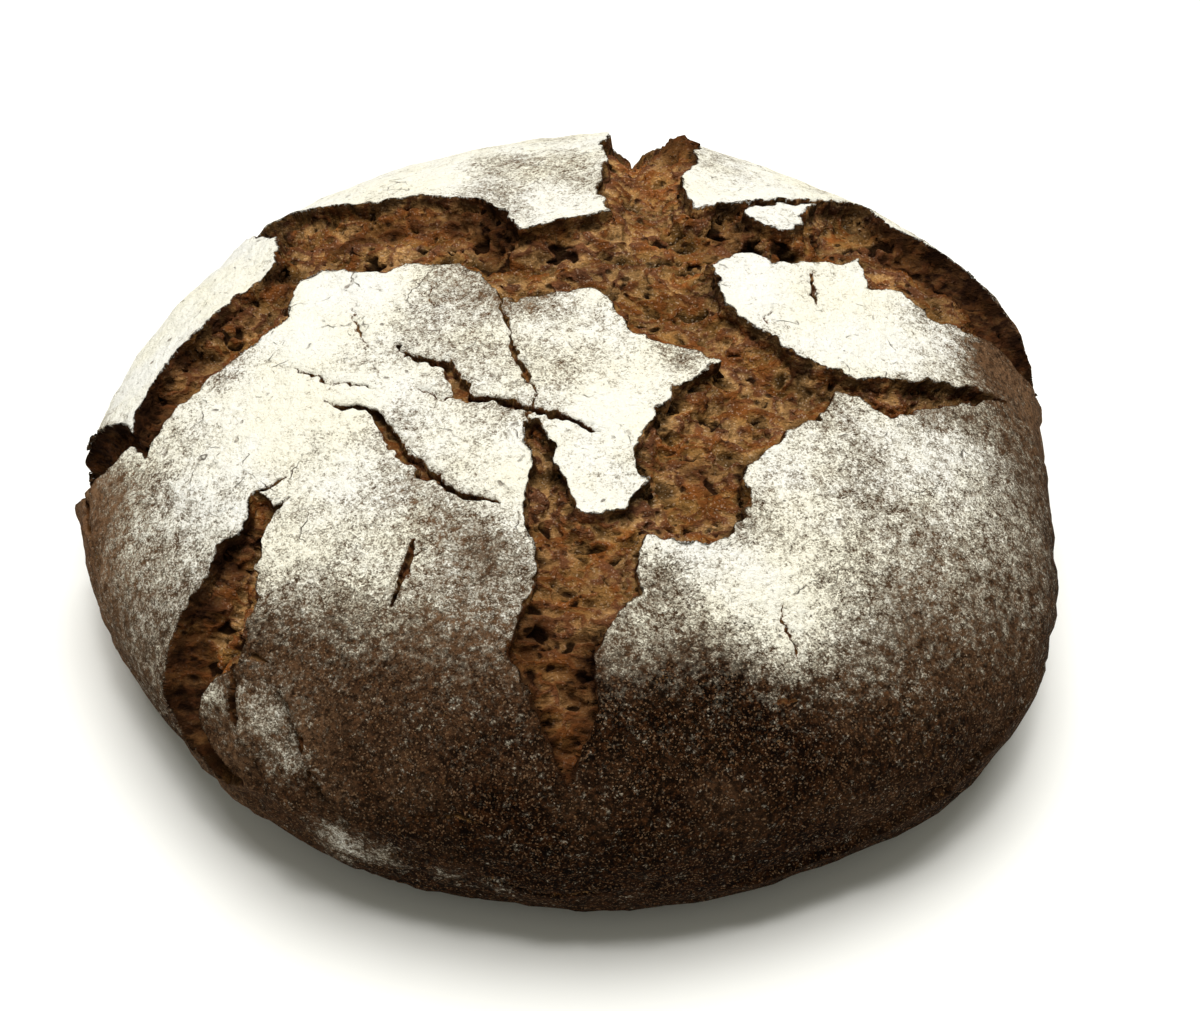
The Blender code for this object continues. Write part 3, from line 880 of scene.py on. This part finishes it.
FLOUR_WHITE = (0.88, 0.870, 0.825, 1)
FLOUR_CREAM = (0.89, 0.860, 0.735, 1)
FLOUR_DULL = (0.50, 0.43, 0.31, 1)
FILM_GREY = (0.42, 0.355, 0.265, 1)
FILM_BROWN = (0.115, 0.070, 0.040, 1)
CRUST_BLACK = (0.0018, 0.0008, 0.0004, 1)
CRUST_DARK = (0.0055, 0.0023, 0.0010, 1)
CRUST_RED = (0.060, 0.0210, 0.0066, 1)
CRUST_BROWN = (0.115, 0.057, 0.028, 1)
CRUST_PALE = (0.215, 0.120, 0.064, 1)
CRUST_SHADE = (0.030, 0.014, 0.007, 1)
CRUST_SOOT = (0.004, 0.002, 0.001, 1)
CRUST_MEAL = (0.24, 0.145, 0.080, 1)
CRUST_FLECK = (0.15, 0.058, 0.020, 1)
CRUMB_OCHRE = (0.400, 0.222, 0.0860, 1)
CRUMB_DEEP_OCHRE = (0.290, 0.145, 0.0430, 1)
CRUMB_RED = (0.185, 0.062, 0.0150, 1)
CRUMB_MAUVE = (0.130, 0.052, 0.0240, 1)
# painted highlight of glistening crumb
CRUMB_PAINTED_GLINT = (0.62, 0.50, 0.37, 1)
TOAST_AND_SHADE_RED = (0.105, 0.036, 0.0105, 1)
TOAST_AND_SHADE_BLACK = (0.012, 0.0046, 0.0026, 1)
CRACK_BROWN = (0.045, 0.020, 0.008, 1)
# black of painted shade, in the pores and holes of the crumb, in cracks and under lips
PAINTED_SHADE_BLACK = (0.010, 0.0040, 0.0018, 1)
BUMP_DEPTH = 0.0005


def flour_group():
    """Dusted flour: grains and clumps, whose cover follows how thickly it lies."""
    group, nodes, source, result = new_group(
        "flour_dust", (("Place", VECTOR, None), ("Thickness", FLOAT, 0.5)),
        (("Cover", FLOAT), ("Film", FLOAT), ("Film Colour", COLOUR), ("Height", FLOAT),
         ("Colour", COLOUR)))
    place, thickness = source["Place"], source["Thickness"]
    grain = nodes.cells(place, GRAINS)
    flake = nodes.spread(nodes.noise(place, FLAKES, 3.0, 0.7), 0.28, 0.72)
    clump = nodes.spread(nodes.noise(place, CLUMPS, 4.0, 0.68), 0.25, 0.75)
    drift = nodes.spread(nodes.noise(place, DRIFTS, 3.0, 0.6), 0.25, 0.75)

    # grains that stand out over a level, which falls as the flour gets thicker
    mixed = nodes.weighted((flake, 0.24), (grain, 0.27), (clump, 0.35), (drift, 0.14))
    level = nodes.math('SUBTRACT', nodes.spread(thickness, 0.0, 0.75, 0.835, 0.325),
                       nodes.spread(thickness, 0.75, 1.0, 0.0, 0.175))
    over = nodes.math('SUBTRACT', mixed, level)
    cover = nodes.within(nodes.math('MULTIPLY_ADD', over, 4.0, 0.5))

    # the finest dust, seen between grains where flour is neither thin nor thick
    powder = nodes.weighted((flake, 0.30), (clump, 0.30), (thickness, 1.0))
    film = nodes.times(nodes.spread(powder, 0.40, 0.74, 0.0, 0.58),
                       nodes.spread(grain, 0.0, 1.0, 0.40, 1.20),
                       nodes.spread(powder, 0.80, 1.02, 1.0, 0.30))
    nodes.feed(result["Film"], nodes.math('MINIMUM', film, 1.0))
    nodes.feed(result["Film Colour"],
               nodes.mix(nodes.spread(clump, 0.25, 0.60), FILM_BROWN, FILM_GREY))

    # crackle and pits in it
    bent = nodes.add('ShaderNodeTexNoise', {'Vector': place, 'Scale': CRACKLE_STRAY, 'Detail': 3.0})
    shift = nodes.add('ShaderNodeVectorMath', {0: bent.outputs['Color'], 1: (0.01, 0.01, 0.01)},
                      operation='MULTIPLY')
    strayed = nodes.add('ShaderNodeVectorMath', {0: place, 1: shift.outputs[0]}, operation='ADD')
    cells = nodes.add('ShaderNodeTexVoronoi', {'Vector': strayed.outputs[0],
                                               'Scale': CRACKLE_CELLS}, feature='DISTANCE_TO_EDGE')
    line = nodes.spread(cells.outputs['Distance'], 0.003, 0.014, 1.0, 0.0)
    seen = nodes.spread(nodes.noise(place, CRACKLED_AREAS, 3.0, 0.7), 0.54, 0.66, 0.0, 0.85)
    pits = nodes.add('ShaderNodeTexVoronoi', {'Vector': strayed.outputs[0], 'Scale': PITS})
    pitted = nodes.times(nodes.spread(pits.outputs['Distance'], 0.07, 0.15, 0.75, 0.0),
                         nodes.spread(drift, 0.45, 0.70))
    crackle = nodes.math('MAXIMUM', nodes.times(line, seen), pitted)
    cover = nodes.times(cover, nodes.math('SUBTRACT', 1.0, crackle))
    nodes.feed(result["Cover"], cover)

    height = nodes.times(cover, nodes.math('MULTIPLY_ADD', clump, 1.2, mixed))
    knobs = nodes.times(nodes.noise(place, FLOUR_KNOBS, 3.0, 0.6), 3.0)
    height = nodes.math('MULTIPLY_ADD', knobs, thickness, height)
    nodes.feed(result["Height"], nodes.math('SUBTRACT', height, crackle))
    tint = nodes.spread(nodes.noise(place, TINTS, 4.0, 0.7), 0.38, 0.60)
    colour = nodes.mix(tint, FLOUR_WHITE, FLOUR_CREAM)
    dull = nodes.spread(over, 0.26, 0.0, 0.0, 0.62)
    nodes.feed(result["Colour"], nodes.mix(dull, colour, FLOUR_DULL))
    return group


def crust_group():
    """Dark baked rye crust, paler brown where it is baked less or stretched, and on the rims as
    painted light.
    """
    group, nodes, source, result = new_group(
        "baked_crust", (("Place", VECTOR, None), ("Pale", FLOAT, 0.0)),
        (("Colour", COLOUR), ("Height", FLOAT)))
    place = source["Place"]
    broad = nodes.spread(nodes.noise(place, BROAD_PATCHES, 4.0, 0.65), 0.35, 0.65)
    fine = nodes.spread(nodes.noise(place, FINE_PATCHES, 5.0, 0.75), 0.3, 0.7)
    grit = nodes.cells(place, GRAINS)
    dark = nodes.mix(broad, CRUST_BLACK, CRUST_DARK)
    dark = nodes.mix(nodes.spread(fine, 0.45, 1.0, 0.0, 0.58), dark, CRUST_RED)
    brown = nodes.mix(broad, CRUST_BROWN, CRUST_PALE)
    brown = nodes.mix(nodes.spread(fine, 0.55, 0.0, 0.0, 0.75), brown, CRUST_SHADE)
    # the paler share: baked less dark, and painted light on the rims
    share = nodes.math('MULTIPLY_ADD', nodes.math('SUBTRACT', broad, 0.5), 0.16, source["Pale"])
    share = nodes.times(share, nodes.spread(fine, 0.15, 0.75, 0.40, 1.35))
    colour = nodes.mix(nodes.within(share), dark, brown)
    colour = nodes.mix(nodes.spread(grit, 0.35, 0.0, 0.0, 0.6), colour, CRUST_SOOT)
    colour = nodes.mix(nodes.spread(grit, 0.84, 1.0, 0.0, 0.50), colour, CRUST_MEAL)
    fleck = nodes.noise(place, FLECKS, 3.0, 0.75)
    colour = nodes.mix(nodes.spread(fleck, 0.56, 0.68, 0.0, 0.34), colour, CRUST_FLECK)
    nodes.feed(result["Colour"], colour)
    nodes.feed(result["Height"], nodes.math('MULTIPLY_ADD', grit, 0.4, fine))
    return group


def crumb_group():
    """Torn rye crumb: ochre hollows, red-brown and mauve strands, with painted shade in the hollows
    and pores, and painted glints.
    """
    group, nodes, source, result = new_group(
        "torn_crumb", (("Place", VECTOR, None), ("Lumps", FLOAT, 0.0), ("Strands", FLOAT, 0.0),
                       ("Pores", FLOAT, 0.0), ("Toasted", FLOAT, 0.0)),
        (("Colour", COLOUR), ("Height", FLOAT)))
    place = source["Place"]
    drawn = nodes.add('ShaderNodeMapping', {'Vector': place, 'Rotation': (0.0, 0.0, 0.15),
                                            'Scale': (0.6, 1.0, 1.0)})
    drawn = drawn.outputs['Vector']
    grit = nodes.cells(place, CRUMB_GRAINS)
    tuft = nodes.spread(nodes.noise(drawn, TUFTS, 4.0, 0.62), 0.28, 0.72)
    raised = nodes.weighted((tuft, 0.55), (source["Strands"], 0.80), (source["Lumps"], 0.12))
    patch = nodes.noise(drawn, CRUMB_PATCHES, 3.0, 0.6)
    ochre = nodes.mix(nodes.spread(patch, 0.42, 0.60), CRUMB_OCHRE, CRUMB_DEEP_OCHRE)
    brown = nodes.mix(nodes.spread(patch, 0.58, 0.42), CRUMB_RED, CRUMB_MAUVE)
    colour = nodes.mix(nodes.spread(raised, 0.22, 0.66), ochre, brown)

    # painted shade darkens the hollows, whole zones are darker or lighter at random, and crumb
    # given a negative share in the toasting and shade spots is paler
    deep = nodes.math('MULTIPLY_ADD', source["Lumps"], 0.55, source["Strands"])
    zone = nodes.noise(place, CRUMB_ZONES, 3.0, 0.6)
    shade = nodes.times(nodes.spread(deep, -1.1, 0.1, 0.22, 1.04),
                        nodes.spread(tuft, 0.0, 1.0, 0.72, 1.18),
                        nodes.spread(grit, 0.0, 1.0, 0.74, 1.22),
                        nodes.spread(zone, 0.36, 0.62, 0.66, 1.20),
                        nodes.spread(source["Toasted"], -1.0, 0.0, 1.6, 1.0))
    shaded = nodes.add('ShaderNodeVectorMath', {0: colour, 'Scale': shade}, operation='SCALE')
    # painted glints: the brightest grains are lightened as painted highlights
    colour = nodes.mix(nodes.spread(grit, 0.88, 1.0, 0.0, 0.30), shaded.outputs[0], CRUMB_PAINTED_GLINT)
    # toasting and painted shade: the crumb turns red-brown, then black where the share is high
    toasted_and_shaded = nodes.times(source["Toasted"], nodes.spread(tuft, 0.9, 0.2, 0.55, 1.0))
    colour = nodes.mix(nodes.spread(toasted_and_shaded, 0.0, 0.5, 0.0, 0.70), colour, TOAST_AND_SHADE_RED)
    colour = nodes.mix(nodes.spread(toasted_and_shaded, 0.25, 1.0), colour, TOAST_AND_SHADE_BLACK)

    # small holes painted black as painted shade
    holes = nodes.add('ShaderNodeTexVoronoi', {'Vector': drawn, 'Scale': FINE_HOLES})
    hole = nodes.math('MULTIPLY_ADD', tuft, 0.16, holes.outputs['Distance'])
    hole = nodes.times(nodes.spread(hole, 0.22, 0.36, 1.0, 0.0),
                       nodes.spread(nodes.noise(place, HOLED_AREAS), 0.43, 0.52))
    colour = nodes.mix(nodes.times(hole, 0.85), colour, PAINTED_SHADE_BLACK)
    # pores and caves of the geometry, painted black towards their bottoms as painted shade
    pore = nodes.spread(source["Pores"], 0.25, 1.4, 0.0, 0.92, smooth=True)
    nodes.feed(result["Colour"], nodes.mix(pore, colour, PAINTED_SHADE_BLACK))
    height = nodes.weighted((tuft, 2.0), (grit, 0.25))
    nodes.feed(result["Height"], nodes.math('SUBTRACT', height, hole))
    return group


def loaf_material(flour, crust, crumb):
    """Floured crust outside the tears, crumb inside, and painted shade under each lip and in the
    cracks.
    """
    material = bpy.data.materials.new("floured_rye_crust_and_crumb")
    material.use_nodes = True
    tree = material.node_tree
    shader = tree.nodes["Principled BSDF"]
    nodes = Nodes(tree)
    place = nodes.add('ShaderNodeTexCoord').outputs['Object']
    opening = nodes.attribute("opening")
    dust = nodes.use(flour, Place=place, Thickness=nodes.attribute("flour"))
    baked = nodes.use(crust, Place=place, Pale=nodes.attribute("pale_and_lit"))
    torn = nodes.use(crumb, Place=place, Lumps=nodes.attribute("lumps"),
                     Strands=nodes.attribute("strands"), Toasted=nodes.attribute("toasted_and_shaded"),
                     Pores=nodes.attribute("pores"))

    filmed = nodes.mix(dust["Film"], baked["Colour"], dust["Film Colour"])
    dusted = nodes.mix(dust["Cover"], filmed, dust["Colour"])
    frayed = nodes.math('SUBTRACT', nodes.noise(place, FRAYS, 3.0, 0.7), 0.5)
    cleft = nodes.math('MULTIPLY_ADD', frayed, 2.4, nodes.attribute("split"))
    cracked = nodes.mix(0.35, torn["Colour"], CRACK_BROWN)
    # painted shade under a crack's far lip
    painted_crack_shade = nodes.math('MULTIPLY_ADD', frayed, 0.8, nodes.attribute("painted_crack_shade"))
    cracked = nodes.mix(nodes.spread(painted_crack_shade, 0.1, 0.9, 0.0, 0.65), cracked, PAINTED_SHADE_BLACK)
    dusted = nodes.mix(nodes.spread(cleft, 0.35, 0.75), dusted, cracked)

    inside = nodes.spread(nodes.math('MULTIPLY_ADD', frayed, 1.6, opening), -0.15, 0.15)
    # painted shade under each lip: a dark band that frays and reaches further in some places
    deeper = nodes.math('SUBTRACT', nodes.noise(place, SHADE_STRAY), 0.5)
    depth = nodes.math('MULTIPLY_ADD', frayed, 3.0, opening)
    depth = nodes.math('MULTIPLY_ADD', deeper, 9.0, depth)
    crumb_with_painted_shade = nodes.mix(nodes.spread(depth, 2.8, 0.3, 0.0, 0.8), torn["Colour"], PAINTED_SHADE_BLACK)
    nodes.feed(shader.inputs["Base Color"], nodes.mix(inside, dusted, crumb_with_painted_shade))
    shader.inputs["Roughness"].default_value = 0.9
    shader.inputs["Specular IOR Level"].default_value = 0.02

    height = nodes.add('ShaderNodeMix', data_type='FLOAT')
    nodes.feed(height.inputs[0], inside)
    nodes.feed(height.inputs[2], nodes.weighted((baked["Height"], 0.5), (dust["Height"], 1.1)))
    nodes.feed(height.inputs[3], nodes.times(torn["Height"], 1.1))
    bump = nodes.add('ShaderNodeBump', {'Strength': 1.0, 'Distance': BUMP_DEPTH,
                                        'Height': height.outputs[0]})
    nodes.feed(shader.inputs["Normal"], bump.outputs["Normal"])
    return material


# ---------------------------------------------------------------- floor, light and camera

FLOOR_SIZE = 12.0
FLOOR_WHITE = (0.87, 0.87, 0.86, 1)
ROOM_COLOUR = (1.0, 0.99, 0.84, 1)
ROOM_STRENGTH = 0.34
LAMP_COLOUR = (1.0, 0.99, 0.96)
LAMP_TARGET = (0.0, 0.0, 0.03)
# Lamps: name, size, energy, place
LAMPS = (("window", 2.0, 69.0, (0.05, 0.34, 2.35)),
         ("ceiling lamp", 0.32, 8.0, (0.05, -0.36, 2.3)))
SENSOR_WIDTH = 36.0
FOCAL_LENGTH = 79.11
CAMERA_TARGET = (9.2, -1.7, 28.6)
CAMERA_RISE = 47.0           # degrees above the table
CAMERA_DISTANCE = 0.750


def make_floor():
    bpy.ops.object.select_all(action='DESELECT')
    bpy.ops.mesh.primitive_plane_add(size=FLOOR_SIZE, location=(0.0, 0.0, 0.0))
    floor = bpy.context.object
    floor.name = "floor"
    material = bpy.data.materials.new("pale_floor")
    material.use_nodes = True
    shader = material.node_tree.nodes["Principled BSDF"]
    shader.inputs["Base Color"].default_value = FLOOR_WHITE
    shader.inputs["Roughness"].default_value = 0.9
    floor.data.materials.append(material)


def aim(thing, place, target):
    """Puts a lamp or camera at its place, facing the target."""
    thing.location = place
    way = Vector(target) - Vector(place)
    thing.rotation_euler = way.to_track_quat('-Z', 'Y').to_euler()


def make_lamp(name, size, energy, place):
    light = bpy.data.lights.new(name, 'AREA')
    light.shape = 'DISK'
    light.size = size
    light.energy = energy
    light.color = LAMP_COLOUR
    lamp = bpy.data.objects.new(name, light)
    bpy.context.scene.collection.objects.link(lamp)
    aim(lamp, place, LAMP_TARGET)


def make_lights():
    world = bpy.data.worlds.new("pale_room")
    world.use_nodes = True
    background = world.node_tree.nodes["Background"]
    background.inputs["Color"].default_value = ROOM_COLOUR
    background.inputs["Strength"].default_value = ROOM_STRENGTH
    bpy.context.scene.world = world
    for lamp in LAMPS:
        make_lamp(*lamp)


def make_camera():
    camera = bpy.data.cameras.new("camera")
    camera.sensor_width = SENSOR_WIDTH
    camera.lens = FOCAL_LENGTH
    camera.clip_start = 0.01
    holder = bpy.data.objects.new("camera", camera)
    bpy.context.scene.collection.objects.link(holder)
    target = Vector(CAMERA_TARGET) * MM
    rise = math.radians(CAMERA_RISE)
    back = Vector((0.0, -math.cos(rise), math.sin(rise))) * CAMERA_DISTANCE
    aim(holder, target + back, target)
    bpy.context.scene.camera = holder


# ---------------------------------------------------------------- putting it together

loaf = make_loaf()
loaf.data.materials.append(loaf_material(flour_group(), crust_group(), crumb_group()))
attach(loaf, "root")
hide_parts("loaf")

make_floor()
make_lights()
make_camera()
bpy.context.scene.view_settings.view_transform = 'Standard'
